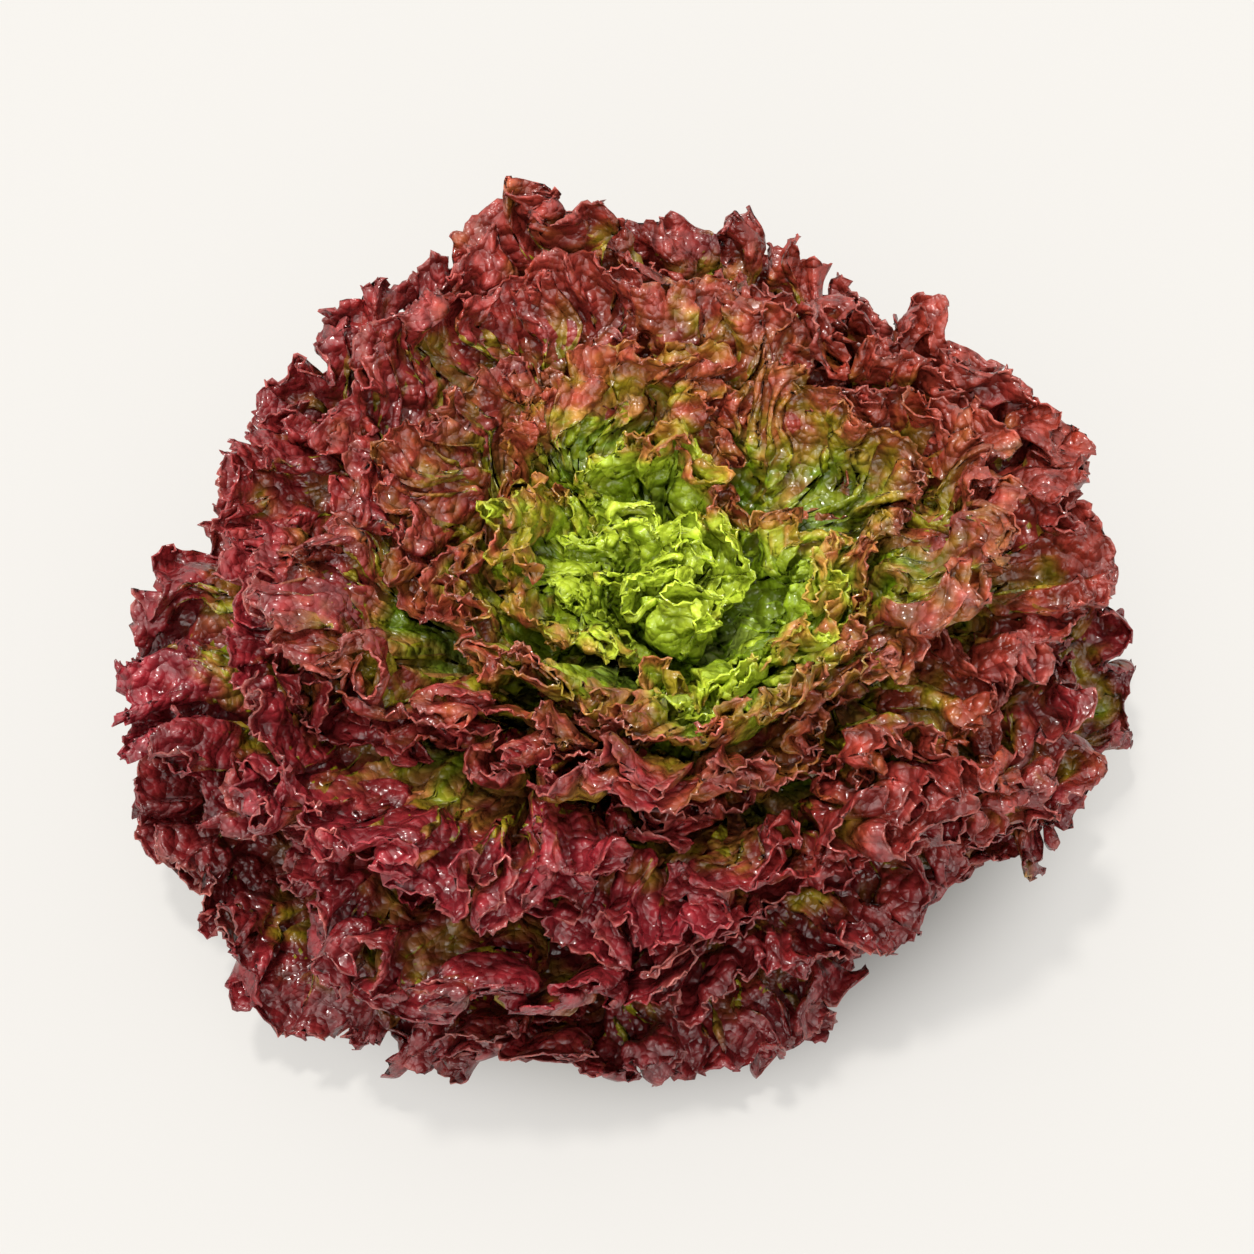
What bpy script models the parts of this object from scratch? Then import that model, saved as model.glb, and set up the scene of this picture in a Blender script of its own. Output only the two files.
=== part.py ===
"""A loose-leaf lettuce head with frilled leaves round a short cut stem.

The leaves lie in nested bowl-shaped layers, upright at the heart and drooping at the skirt. Each leaf
keeps to its own band of layers, so its frill reaches halfway to the neighbours and never through them.
Metres, +Z up, origin at the centre of the stem's cut face.
"""

import math

import bmesh
import bpy
import numpy as np

# Driving dimensions of the head
HEAD_RADIUS = 0.125
HEAD_HEIGHT = 0.112
LEAF_COUNT = 38
FIRST_LAYER = 0.7
GOLDEN_ANGLE = math.radians(137.508)
SEED = 9

# Stem: a tapered core that the leaves grow from, cut flat below
STEM_FOOT_RADIUS = 0.0150
STEM_FOOT_HEIGHT = 0.0040
STEM_CHAMFER = 0.0010
STEM_TIP_RISE = 0.0012
STEM_SIDES = 28
STEM_STEPS = 8
ROOT_GAP = 0.0007

# Leaf roots and tips from the heart's innermost leaf (0) to the outermost one (1)
TIP_LAYERS = (0.00, 0.065, 0.135, 0.24, 0.375, 0.515, 0.69, 1.00)
TIP_RADII = tuple(HEAD_RADIUS * share for share in (0.09, 0.21, 0.35, 0.51, 0.68, 0.84, 0.98, 0.96))
TIP_HEIGHTS = tuple(HEAD_HEIGHT * share for share in (0.64, 0.75, 0.86, 0.93, 0.95, 0.88, 0.64, 0.12))
TIP_TILTS = (0.0, 10.0, 20.0, 33.0, 45.0, 58.0, 76.0, 104.0)
ROOT_LAYERS = (0.00, 0.12, 0.235, 0.35, 0.465, 0.58, 0.725, 1.00)
ROOT_RADII = (0.0030, 0.0072, 0.0096, 0.0114, 0.0130, 0.0145, 0.0161, 0.0184)
ROOT_HEIGHTS = (0.0370, 0.0352, 0.0328, 0.0299, 0.0265, 0.0226, 0.0172, 0.0068)
ROOT_TILTS = (4.0, 14.0, 27.0, 39.0, 50.0, 62.0, 75.0, 94.0)
FIT_DEGREE = 5
TANGENT_SHARE = 1.08

# Leaf blades: thickness, spread about the spiral in degrees, outline, and waves along the margin in metres
BLADE_THICKNESS = 0.0008
RIB_THICKNESS_HEART = 0.0016
RIB_THICKNESS_SKIRT = 0.0032
ROOT_HALF_ANGLE_HEART = 42.0
ROOT_HALF_ANGLE_SKIRT = 28.0
HALF_ANGLE_HEART = 62.0
HALF_ANGLE_SKIRT = 45.0
HALF_ANGLE_BEND = 0.6
NARROWEST_LEAF = 0.95
WIDEST_LEAF = 1.05
AZIMUTH_JITTER = 9.0
SHORTEST_LENGTH = 0.88
LONGEST_LENGTH = 1.03
OUTLINE_SWEEP = 88.0
MARGIN_LOBES = 0.05
LOBE_RATE = 7.0
OUTLINE_WAIST = 0.50
OUTLINE_FLARE = 0.85
WAVE_LENGTH_HEART = 0.019
WAVE_LENGTH_SKIRT = 0.028
WAVE_FULL_LAYER = 2.0 / 3.0
WAVE_WANDER = 1.5
SLOW_WANDER = (3.1, 0.6)
QUICK_WANDER = (7.3, 0.4)
FOLD_BROAD = 0.35
FOLD_TIGHT = 0.95
FOLD_FULLNESS = 1.35
FOLD_LAG = 0.9
BROAD_FOLD_DEPTHS = (0.20, 0.85)
TIGHT_FOLD_DEPTHS = (0.45, 0.97)
CALM_SIDE_FANS = (0.66, 0.97)
MARGIN_STEPS = 161
RIB_HALF_WIDTH = 0.42
RIB_END_DEPTH = 0.75

# Room between neighbours, counted in leaves
WIDEST_BAND = 2.7
BAND_CLEARANCE = 0.38
GUARD_ANGLE = 5.0
RAMP_ANGLE = 12.0

# The whole head's outline, as gentle lobes of (count round the head, share of the radius, direction)
OUTLINE_FULL_ALONG = 0.8
OUTLINE_LOBES = ((1, 0.062, 242.0), (2, 0.020, 15.0), (3, 0.043, 96.0), (5, 0.013, 62.0))

# The head's own unevenness: waves that carry neighbouring leaves along together, as
# (waves per metre in x, y and z, start in degrees, share in x, y and z)
WARP_REACH = 0.0042
WARP_FROM = 0.25
WARP_FULL = 0.90
WARP_CALM_RADIUS = 0.020
WARP_FULL_RADIUS = 0.075
WARP_WAVES = (
    ((13.0, 5.0, 9.0), 20.0, (0.5, -0.4, 0.8)),
    ((-6.0, 12.0, 7.0), 140.0, (-0.6, 0.5, 0.7)),
    ((9.0, -11.0, -8.0), 250.0, (0.4, 0.7, -0.6)),
    ((5.0, 8.0, 17.0), 75.0, (0.7, 0.7, 0.1)),
)

# The heart opens towards the front: leaves near this point lean forwards and down, in metres
HEART_OPENING_CENTRE = (0.014, -0.034, 0.098)
HEART_OPENING_PUSH = (0.0060, -0.0150, -0.0080)
HEART_OPENING_REACH = 0.034

# Name, share of the leaves, colour, roughness
LEAF_GROUPS = (
    ("heart_leaf", 7, (0.36, 0.52, 0.06), 0.42),
    ("inner_leaf", 8, (0.40, 0.36, 0.07), 0.40),
    ("middle_leaf", 11, (0.30, 0.06, 0.06), 0.36),
    ("outer_leaf", 12, (0.24, 0.05, 0.05), 0.38),
)
STEM_COLOUR = (0.72, 0.76, 0.52)
STEM_ROUGHNESS = 0.55


def layer_curve(layers, values):
    """Smooth polynomial that follows one value for each of the layers."""
    return np.poly1d(np.polyfit(layers, values, FIT_DEGREE))


ROOT_RADIUS_AT = layer_curve(ROOT_LAYERS, ROOT_RADII)
ROOT_HEIGHT_AT = layer_curve(ROOT_LAYERS, ROOT_HEIGHTS)
ROOT_TILT_AT = layer_curve(ROOT_LAYERS, ROOT_TILTS)
TIP_RADIUS_AT = layer_curve(TIP_LAYERS, TIP_RADII)
TIP_HEIGHT_AT = layer_curve(TIP_LAYERS, TIP_HEIGHTS)
TIP_TILT_AT = layer_curve(TIP_LAYERS, TIP_TILTS)


def between(heart, skirt, layer):
    """Value that goes evenly from the heart to the skirt."""
    return heart + (skirt - heart) * layer


def smooth(low, high, value):
    """Smooth step from 0 at low to 1 at high."""
    share = np.clip((value - low) / (high - low), 0.0, 1.0)
    return share * share * (3.0 - 2.0 * share)


def outline_factor(azimuth):
    """Share by which the head is wider or narrower in a direction."""
    factor = np.ones_like(azimuth)
    for count, share, direction in OUTLINE_LOBES:
        factor = factor + share * np.cos(count * (azimuth - math.radians(direction)))
    return factor


def warped(point, strength):
    """A point moved with the head's own unevenness, by a strength from 0 to 1."""
    shift = np.zeros_like(point)
    for rates, start, shares in WARP_WAVES:
        phase = 2.0 * math.pi * (point @ np.array(rates)) + math.radians(start)
        shift = shift + np.sin(phase)[..., None] * np.array(shares)
    away = np.linalg.norm(point - np.array(HEART_OPENING_CENTRE), axis=-1)
    opening = np.exp(-(away / HEART_OPENING_REACH) ** 2)
    point = point + opening[..., None] * np.array(HEART_OPENING_PUSH)
    return point + WARP_REACH * strength[..., None] * shift


def layer_point(layer, along, azimuth):
    """Point of a nested layer: along is 0 at the stem and 1 at the tip, azimuth is in radians."""
    root_r = ROOT_RADIUS_AT(layer) + ROOT_GAP
    root_z = ROOT_HEIGHT_AT(layer)
    tip_r = TIP_RADIUS_AT(layer)
    tip_z = TIP_HEIGHT_AT(layer)
    root_tilt = np.radians(ROOT_TILT_AT(layer))
    tip_tilt = np.radians(TIP_TILT_AT(layer))
    reach = TANGENT_SHARE * np.hypot(tip_r - root_r, tip_z - root_z)
    square = along * along
    cube = square * along
    at_root = 2.0 * cube - 3.0 * square + 1.0
    at_tip = 3.0 * square - 2.0 * cube
    leaving = cube - 2.0 * square + along
    arriving = cube - square
    radius = at_root * root_r + at_tip * tip_r
    radius = radius + reach * (leaving * np.sin(root_tilt) + arriving * np.sin(tip_tilt))
    height = at_root * root_z + at_tip * tip_z
    height = height + reach * (leaving * np.cos(root_tilt) + arriving * np.cos(tip_tilt))
    spread = 1.0 + (outline_factor(azimuth) - 1.0) * smooth(0.0, OUTLINE_FULL_ALONG, along)
    radius = radius * spread
    point = np.stack([radius * np.cos(azimuth), radius * np.sin(azimuth), height], axis=-1)
    strength = smooth(WARP_FROM, WARP_FULL, along) * smooth(WARP_CALM_RADIUS, WARP_FULL_RADIUS, radius)
    return warped(point, strength)


class Leaf:
    """One leaf of the spiral: where it stands, how wide it is and how its margin waves."""

    def __init__(self, index):
        draw = np.random.default_rng(SEED * 1000 + index)
        self.index = index
        self.layer = (index + FIRST_LAYER) / LEAF_COUNT
        self.azimuth = index * GOLDEN_ANGLE + math.radians(draw.uniform(-AZIMUTH_JITTER, AZIMUTH_JITTER))
        self.length = draw.uniform(SHORTEST_LENGTH, LONGEST_LENGTH)
        half = between(HALF_ANGLE_HEART, HALF_ANGLE_SKIRT, self.layer ** HALF_ANGLE_BEND)
        self.half_angle = math.radians(half * draw.uniform(NARROWEST_LEAF, WIDEST_LEAF))
        self.root_half_angle = math.radians(between(ROOT_HALF_ANGLE_HEART, ROOT_HALF_ANGLE_SKIRT, self.layer))
        wave_share = min(1.0, self.layer / WAVE_FULL_LAYER)
        self.wave_length = between(WAVE_LENGTH_HEART, WAVE_LENGTH_SKIRT, wave_share)
        self.start = draw.uniform(0.0, 2.0 * math.pi)
        self.drift = draw.uniform(0.0, 2.0 * math.pi, 6)
        self.rib = between(RIB_THICKNESS_HEART, RIB_THICKNESS_SKIRT, self.layer)
        self.margin_fans = np.linspace(-1.0, 1.0, MARGIN_STEPS)
        along, azimuth = self.place(np.ones(MARGIN_STEPS), self.margin_fans)
        margin = layer_point(np.full(MARGIN_STEPS, self.layer), along, azimuth)
        steps = np.linalg.norm(np.diff(margin, axis=0), axis=1)
        self.margin_arc = np.concatenate([[0.0], np.cumsum(steps)])

    def place(self, depth, fan):
        """Share of the layer's length, and azimuth, at depth 0 (root) to 1 (margin) and fan -1 to 1."""
        sweep = np.radians(OUTLINE_SWEEP) * fan
        lobes = 1.0 + MARGIN_LOBES * np.cos(sweep) * np.sin(LOBE_RATE * fan + self.drift[5])
        along = depth * (OUTLINE_WAIST + (self.length * lobes - OUTLINE_WAIST) * np.cos(sweep))
        share = depth ** OUTLINE_FLARE
        turn = (1.0 - share) * self.root_half_angle * fan + share * self.half_angle * np.sin(sweep)
        return along, self.azimuth + turn

    def wander(self, fan, first):
        """Slow irregular wave along the margin, from -1 to 1."""
        slow = np.sin(SLOW_WANDER[0] * fan + self.drift[first])
        quick = np.sin(QUICK_WANDER[0] * fan + self.drift[first + 1])
        return SLOW_WANDER[1] * slow + QUICK_WANDER[1] * quick

    def phase(self, fan):
        """Phase of the margin's folds, one turn for each wave length along the margin."""
        arc = np.interp(fan, self.margin_fans, self.margin_arc)
        return 2.0 * math.pi * arc / self.wave_length + self.start + WAVE_WANDER * self.wander(fan, 0)

    def fold(self, depth, fan):
        """Height of the folds from -1 to 1."""
        phase = self.phase(fan)
        broad = smooth(*BROAD_FOLD_DEPTHS, depth) * np.sin(0.5 * phase + self.drift[4])
        tight = smooth(*TIGHT_FOLD_DEPTHS, depth) * np.sin(phase + FOLD_LAG * (1.0 - depth))
        strength = 0.80 + 0.25 * self.wander(fan, 2)
        calm = 1.0 - smooth(*CALM_SIDE_FANS, np.abs(fan))
        return calm * np.tanh(FOLD_FULLNESS * (FOLD_BROAD * broad + FOLD_TIGHT * strength * tight))


def band(leaves, leaf, azimuth):
    """Layers that a leaf may fill above and below its own, counted in leaves, at an azimuth."""
    above = np.full_like(azimuth, 2.0 * WIDEST_BAND)
    below = np.full_like(azimuth, 2.0 * WIDEST_BAND)
    for other in leaves:
        apart = abs(other.index - leaf.index)
        if apart == 0 or apart >= 2.0 * WIDEST_BAND:
            continue
        turn = np.abs((azimuth - other.azimuth + math.pi) % (2.0 * math.pi) - math.pi)
        edge = other.half_angle + math.radians(GUARD_ANGLE)
        bare = smooth(edge, edge + math.radians(RAMP_ANGLE), turn)
        room = apart + bare * (2.0 * WIDEST_BAND - apart)
        if other.index > leaf.index:
            above = np.minimum(above, room)
        else:
            below = np.minimum(below, room)
    return above / 2.0 - BAND_CLEARANCE, below / 2.0 - BAND_CLEARANCE


def blade_points(leaves, leaf, depth, fan):
    """Points of a leaf's inner face at depth 0 (root) to 1 (margin) and fan -1 to 1."""
    along, azimuth = leaf.place(depth, fan)
    above, below = band(leaves, leaf, azimuth)
    fold = leaf.fold(depth, fan)
    middle = 0.5 * (above + below)
    lean = 0.5 * (above - below)
    layer = leaf.layer + fold * (middle + lean * np.tanh(4.0 * fold)) / LEAF_COUNT
    return layer_point(layer, along, azimuth)


def fans_at(leaf, offsets):
    """Fan values where the folds reach the given phases, with both ends of the margin."""
    fine = np.linspace(-1.0, 1.0, 801)
    phases = leaf.phase(fine)
    turns = np.round((phases[-1] - phases[0]) / (2.0 * math.pi))
    first = math.floor(phases[0] / (2.0 * math.pi))
    last = math.ceil(phases[-1] / (2.0 * math.pi))
    wanted = sorted(2.0 * math.pi * turn + offset for turn in range(first, last + 1) for offset in offsets)
    fans = np.interp([p for p in wanted if phases[0] < p < phases[-1]], phases, fine)
    spacing = max(0.05, 0.9 / turns / len(offsets))
    inner = [f for f in fans if -1.0 + spacing < f < 1.0 - spacing]
    return np.array([-1.0, *inner, 1.0])


def blade_rows(leaf):
    """Rows of the blade's mesh from the root to the margin, each as (depth, fan values)."""
    crests = fans_at(leaf, (0.5 * math.pi, 1.5 * math.pi))
    shoulders = fans_at(leaf, [math.radians(a) for a in (55.0, 125.0, 235.0, 305.0)])
    return (
        (0.00, np.linspace(-1.0, 1.0, 5)),
        (0.26, np.linspace(-1.0, 1.0, 7)),
        (0.50, np.linspace(-1.0, 1.0, 9)),
        (0.76, crests),
        (1.00, shoulders),
    )


def stitch(mesh, low, low_fans, high, high_fans):
    """Triangles between two rows of vertices with unlike counts."""
    i = 0
    j = 0
    while i < len(low) - 1 or j < len(high) - 1:
        can_low = i < len(low) - 1
        can_high = j < len(high) - 1
        if can_low and (not can_high or low_fans[i + 1] + low_fans[i] <= high_fans[j + 1] + high_fans[j]):
            mesh.faces.new((low[i], high[j], low[i + 1]))
            i += 1
        else:
            mesh.faces.new((low[i], high[j], high[j + 1]))
            j += 1


def rib_weight(depth, fan):
    """Share of the rib's thickness at a point of the blade."""
    across = np.exp(-((fan / RIB_HALF_WIDTH) ** 2))
    return float(across * (1.0 - smooth(0.0, RIB_END_DEPTH, np.float64(depth))))


def build_leaf(leaves, leaf, name, material, collection):
    """A leaf as one closed solid: its inner face, thickened outwards and most along the rib."""
    mesh = bpy.data.meshes.new(name)
    sheet = bmesh.new()
    weights = []
    rows = []
    for depth, fans in blade_rows(leaf):
        points = blade_points(leaves, leaf, np.full_like(fans, depth), fans)
        rows.append((fans, [sheet.verts.new(p) for p in points]))
        weights += [rib_weight(depth, fan) for fan in fans]
    for (low_fans, low), (high_fans, high) in zip(rows, rows[1:]):
        stitch(sheet, low, low_fans, high, high_fans)
    sheet.to_mesh(mesh)
    sheet.free()
    mesh.materials.append(material)
    blade = bpy.data.objects.new(name, mesh)
    collection.objects.link(blade)
    rib = blade.vertex_groups.new(name="rib")
    for vertex, weight in enumerate(weights):
        rib.add([vertex], weight, "REPLACE")
    shell = blade.modifiers.new("thickness", "SOLIDIFY")
    shell.thickness = leaf.rib
    shell.offset = -1.0
    shell.vertex_group = "rib"
    shell.thickness_vertex_group = BLADE_THICKNESS / leaf.rib
    return blade


def build_stem(material, collection):
    """The short stem: a turned core with a flat cut foot and a blunt growing tip."""
    sides = [(ROOT_RADIUS_AT(t), ROOT_HEIGHT_AT(t)) for t in np.linspace(0.0, 1.0, STEM_STEPS)]
    profile = (
        (0.0, ROOT_HEIGHT_AT(0.0) + STEM_TIP_RISE),
        *sides,
        (sides[-1][0], STEM_FOOT_HEIGHT),
        (STEM_FOOT_RADIUS + STEM_CHAMFER, STEM_CHAMFER),
        (STEM_FOOT_RADIUS, 0.0),
        (0.0, 0.0),
    )
    mesh = bpy.data.meshes.new("cut_stem")
    mesh.from_pydata([(r, 0.0, z) for r, z in profile], [(k, k + 1) for k in range(len(profile) - 1)], [])
    mesh.materials.append(material)
    stem = bpy.data.objects.new("cut_stem", mesh)
    collection.objects.link(stem)
    turned = stem.modifiers.new("turned", "SCREW")
    turned.axis = "Z"
    turned.steps = STEM_SIDES
    turned.render_steps = STEM_SIDES
    turned.use_merge_vertices = True
    turned.merge_threshold = 0.00002
    return stem


def finish(name, colour, roughness):
    """A Principled material for one group of pieces."""
    material = bpy.data.materials.new(name)
    material.use_nodes = True
    shader = material.node_tree.nodes["Principled BSDF"]
    shader.inputs["Base Color"].default_value = (*colour, 1.0)
    shader.inputs["Roughness"].default_value = roughness
    shader.inputs["Metallic"].default_value = 0.0
    return material


def main():
    for thing in list(bpy.data.objects):
        bpy.data.objects.remove(thing)
    collection = bpy.data.collections.new("lettuce_head")
    bpy.context.scene.collection.children.link(collection)
    build_stem(finish("cut_stem", STEM_COLOUR, STEM_ROUGHNESS), collection)
    leaves = [Leaf(index) for index in range(LEAF_COUNT)]
    index = 0
    for group, count, colour, roughness in LEAF_GROUPS:
        material = finish(group, colour, roughness)
        for number in range(1, count + 1):
            build_leaf(leaves, leaves[index], f"{group}_{number:02d}", material, collection)
            index += 1


main()
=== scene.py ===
"""Frilled red loose-leaf lettuce head: fine leaves, finishes, camera, light and floor."""

import logging
import math
from collections.abc import Callable
from dataclasses import dataclass, field
from enum import Enum

import bpy
import numpy as np
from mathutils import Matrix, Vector


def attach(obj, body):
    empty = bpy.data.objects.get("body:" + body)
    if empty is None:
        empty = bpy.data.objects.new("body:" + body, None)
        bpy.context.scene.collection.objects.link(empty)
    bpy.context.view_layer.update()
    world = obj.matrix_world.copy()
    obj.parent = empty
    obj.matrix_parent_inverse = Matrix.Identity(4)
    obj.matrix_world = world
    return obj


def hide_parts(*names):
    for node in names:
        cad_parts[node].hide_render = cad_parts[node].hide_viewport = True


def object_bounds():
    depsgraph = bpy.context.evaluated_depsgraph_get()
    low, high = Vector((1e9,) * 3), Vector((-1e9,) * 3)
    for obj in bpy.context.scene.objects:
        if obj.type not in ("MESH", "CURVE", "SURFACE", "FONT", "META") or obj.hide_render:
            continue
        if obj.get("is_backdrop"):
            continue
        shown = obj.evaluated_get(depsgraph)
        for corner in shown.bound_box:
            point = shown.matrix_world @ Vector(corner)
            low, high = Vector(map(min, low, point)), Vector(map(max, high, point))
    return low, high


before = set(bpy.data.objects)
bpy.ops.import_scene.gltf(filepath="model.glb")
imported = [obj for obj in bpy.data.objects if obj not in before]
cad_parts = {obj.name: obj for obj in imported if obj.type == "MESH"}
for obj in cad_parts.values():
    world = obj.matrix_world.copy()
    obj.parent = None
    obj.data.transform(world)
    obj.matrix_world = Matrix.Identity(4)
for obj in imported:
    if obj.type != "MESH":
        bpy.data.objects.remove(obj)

LOG = logging.getLogger("lettuce")

Array = np.ndarray


class Zone(Enum):
    """Leaf groups from the heart outwards, each with its name in the model and its leaf count."""

    HEART = ("heart_leaf", 7)
    INNER = ("inner_leaf", 8)
    MIDDLE = ("middle_leaf", 11)
    OUTER = ("outer_leaf", 12)


def smooth(low: float, high: float, value: Array) -> Array:
    """Smooth step from 0 at low to 1 at high."""
    share = np.clip((value - low) / (high - low), 0.0, 1.0)
    return share * share * (3.0 - 2.0 * share)


def between(heart: float, skirt: float, layer: float) -> float:
    """Value that goes evenly from the heart to the skirt."""
    return heart + (skirt - heart) * layer


def unit(vectors: Array) -> Array:
    """Vectors scaled to length one."""
    return vectors / np.maximum(np.linalg.norm(vectors, axis=-1, keepdims=True), 1e-12)


def spans(points: Array) -> tuple[Array, Array]:
    """Distances between neighbours in a grid.

    Args:
        points: places in rows and columns.

    Returns:
        The distances along the rows, and from row to row.
    """
    across = np.linalg.norm(points[:, 1:] - points[:, :-1], axis=-1)
    down = np.linalg.norm(points[1:] - points[:-1], axis=-1)
    return across, down


def linear(red: int, green: int, blue: int) -> Array:
    """Linear colour of a display colour with channels from 0 to 255."""
    shown = np.array([red, green, blue], dtype=float) / 255.0
    return np.where(shown < 0.04045, shown / 12.92, ((shown + 0.055) / 1.055) ** 2.4)


@dataclass(frozen=True)
class Unevenness:
    """Smooth seeded noise in space, the same on each run."""

    cells: int = 32
    seed: int = 5

    def lattice(self) -> Array:
        """Random values at the corners of the noise's cells."""
        return np.random.default_rng(self.seed).uniform(-1.0, 1.0, (self.cells,) * 3)

    def at(self, points: Array, size: float, shift: float = 0.0) -> Array:
        """Noise at points.

        Args:
            points: places, with three numbers each.
            size: distance over which the noise changes, in the unit of the points.
            shift: moves the pattern, so that leaves differ.

        Returns:
            One value from -1 to 1 for each point.
        """
        values = LATTICE
        placed = points / size + shift
        corner = np.floor(placed).astype(int)
        share = placed - corner
        share = share * share * (3.0 - 2.0 * share)
        total = np.zeros(points.shape[:-1])
        for step in np.ndindex(2, 2, 2):
            weight = np.ones(points.shape[:-1])
            for axis in range(3):
                weight = weight * (share[..., axis] if step[axis] else 1.0 - share[..., axis])
            spot = [(corner[..., axis] + step[axis]) % self.cells for axis in range(3)]
            total = total + weight * values[spot[0], spot[1], spot[2]]
        return total

    def rough(self, points: Array, size: float, shift: float = 0.0) -> Array:
        """Noise with two finer layers added."""
        first = self.at(points, size, shift)
        second = self.at(points, 0.48 * size, shift + 3.1)
        third = self.at(points, 0.23 * size, shift + 7.7)
        return first + 0.5 * second + 0.25 * third


NOISE = Unevenness()
LATTICE = NOISE.lattice()


@dataclass
class Head:
    """The head's nested layers, from the heart at 0 to the skirt at 1, as in the solids."""

    radius: float = 0.125
    height: float = 0.112
    leaf_count: int = 38
    first_layer: float = 0.7
    seed: int = 9
    tip_layers: tuple = (0.00, 0.065, 0.135, 0.24, 0.375, 0.515, 0.69, 1.00)
    tip_radii: tuple = (0.09, 0.21, 0.35, 0.51, 0.68, 0.84, 0.98, 0.96)
    tip_heights: tuple = (0.64, 0.75, 0.86, 0.93, 0.95, 0.88, 0.64, 0.12)
    tip_tilts: tuple = (0.0, 10.0, 20.0, 33.0, 45.0, 58.0, 76.0, 104.0)
    root_layers: tuple = (0.00, 0.12, 0.235, 0.35, 0.465, 0.58, 0.725, 1.00)
    root_radii: tuple = (0.0030, 0.0072, 0.0096, 0.0114, 0.0130, 0.0145, 0.0161, 0.0184)
    root_heights: tuple = (0.0370, 0.0352, 0.0328, 0.0299, 0.0265, 0.0226, 0.0172, 0.0068)
    root_tilts: tuple = (4.0, 14.0, 27.0, 39.0, 50.0, 62.0, 75.0, 94.0)
    root_gap: float = 0.0007
    tangent_share: float = 1.08
    lobes: tuple = ((1, 0.062, 242.0), (2, 0.020, 15.0), (3, 0.043, 96.0), (5, 0.013, 62.0))
    opening_centre: tuple = (0.014, -0.034, 0.098)
    opening_push: tuple = (0.0060, -0.0150, -0.0080)
    opening_reach: float = 0.034
    warp_reach: float = 0.0042
    warp_waves: tuple = (
        ((13.0, 5.0, 9.0), 20.0, (0.5, -0.4, 0.8)),
        ((-6.0, 12.0, 7.0), 140.0, (-0.6, 0.5, 0.7)),
        ((9.0, -11.0, -8.0), 250.0, (0.4, 0.7, -0.6)),
        ((5.0, 8.0, 17.0), 75.0, (0.7, 0.7, 0.1)),
    )

    def __post_init__(self) -> None:
        """Fits the smooth curves of roots and tips."""
        self.root_radius = np.poly1d(np.polyfit(self.root_layers, self.root_radii, 5))
        self.root_height = np.poly1d(np.polyfit(self.root_layers, self.root_heights, 5))
        self.root_tilt = np.poly1d(np.polyfit(self.root_layers, self.root_tilts, 5))
        self.tip_radius = np.poly1d(np.polyfit(self.tip_layers, np.array(self.tip_radii) * self.radius, 5))
        self.tip_height = np.poly1d(np.polyfit(self.tip_layers, np.array(self.tip_heights) * self.height, 5))
        self.tip_tilt = np.poly1d(np.polyfit(self.tip_layers, self.tip_tilts, 5))

    def outline(self, azimuth: Array) -> Array:
        """Share by which the head is wider or narrower in a direction."""
        factor = np.ones_like(azimuth)
        for count, share, direction in self.lobes:
            factor = factor + share * np.cos(count * (azimuth - math.radians(direction)))
        return factor

    def point(self, layer: Array, along: Array, azimuth: Array) -> Array:
        """Point of a layer.

        Args:
            layer: 0 at the heart to 1 at the skirt.
            along: 0 at the stem to 1 at the tip.
            azimuth: direction round the head, in radians.

        Returns:
            Places in metres, three numbers each.
        """
        root_r = self.root_radius(layer) + self.root_gap
        root_z = self.root_height(layer)
        tip_r = self.tip_radius(layer)
        tip_z = self.tip_height(layer)
        root_tilt = np.radians(self.root_tilt(layer))
        tip_tilt = np.radians(self.tip_tilt(layer))
        reach = self.tangent_share * np.hypot(tip_r - root_r, tip_z - root_z)
        square = along * along
        cube = square * along
        at_root = 2.0 * cube - 3.0 * square + 1.0
        at_tip = 3.0 * square - 2.0 * cube
        leaving = cube - 2.0 * square + along
        arriving = cube - square
        radius = at_root * root_r + at_tip * tip_r
        radius = radius + reach * (leaving * np.sin(root_tilt) + arriving * np.sin(tip_tilt))
        height = at_root * root_z + at_tip * tip_z
        height = height + reach * (leaving * np.cos(root_tilt) + arriving * np.cos(tip_tilt))
        radius = radius * (1.0 + (self.outline(azimuth) - 1.0) * smooth(0.0, 0.8, along))
        place = np.stack([radius * np.cos(azimuth), radius * np.sin(azimuth), height], axis=-1)
        strength = smooth(0.25, 0.90, along) * smooth(0.020, 0.075, radius)
        shift = np.zeros_like(place)
        for rates, start, shares in self.warp_waves:
            phase = 2.0 * math.pi * (place @ np.array(rates)) + math.radians(start)
            shift = shift + np.sin(phase)[..., None] * np.array(shares)
        away = np.linalg.norm(place - np.array(self.opening_centre), axis=-1)
        opening = np.exp(-((away / self.opening_reach) ** 2))
        place = place + opening[..., None] * np.array(self.opening_push)
        return place + self.warp_reach * strength[..., None] * shift


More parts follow.
